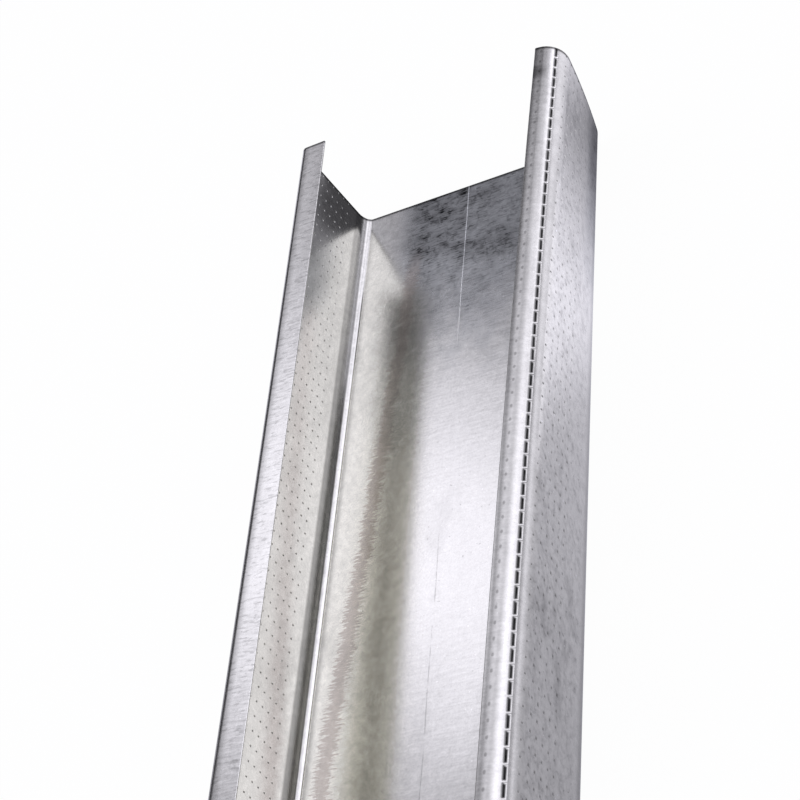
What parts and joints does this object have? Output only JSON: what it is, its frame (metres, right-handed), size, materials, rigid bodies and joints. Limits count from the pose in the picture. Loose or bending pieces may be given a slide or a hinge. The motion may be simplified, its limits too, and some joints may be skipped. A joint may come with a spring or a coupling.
{
  "type": "steel stud",
  "caption": "Lipped C-section wall stud rolled from thin galvanized steel sheet, with dimpled flanges and one cut end sprung slightly open.",
  "frame": {"origin": "underside of the web, on its centre line, halfway along the stud", "axes": "+Y along the stud towards the cut end whose flanges have sprung open, +Z from the web up out of the open side, +X towards the taller flange"},
  "size_m": [0.0828, 2.4, 0.0376],
  "materials": {
    "galvanized_sheet": "bright zinc coating with a faint spangle, rubbed along the stud by the rollers"
  },
  "bodies": {
    "root": {"stud": "galvanized_sheet"}
  },
  "joints": []
}
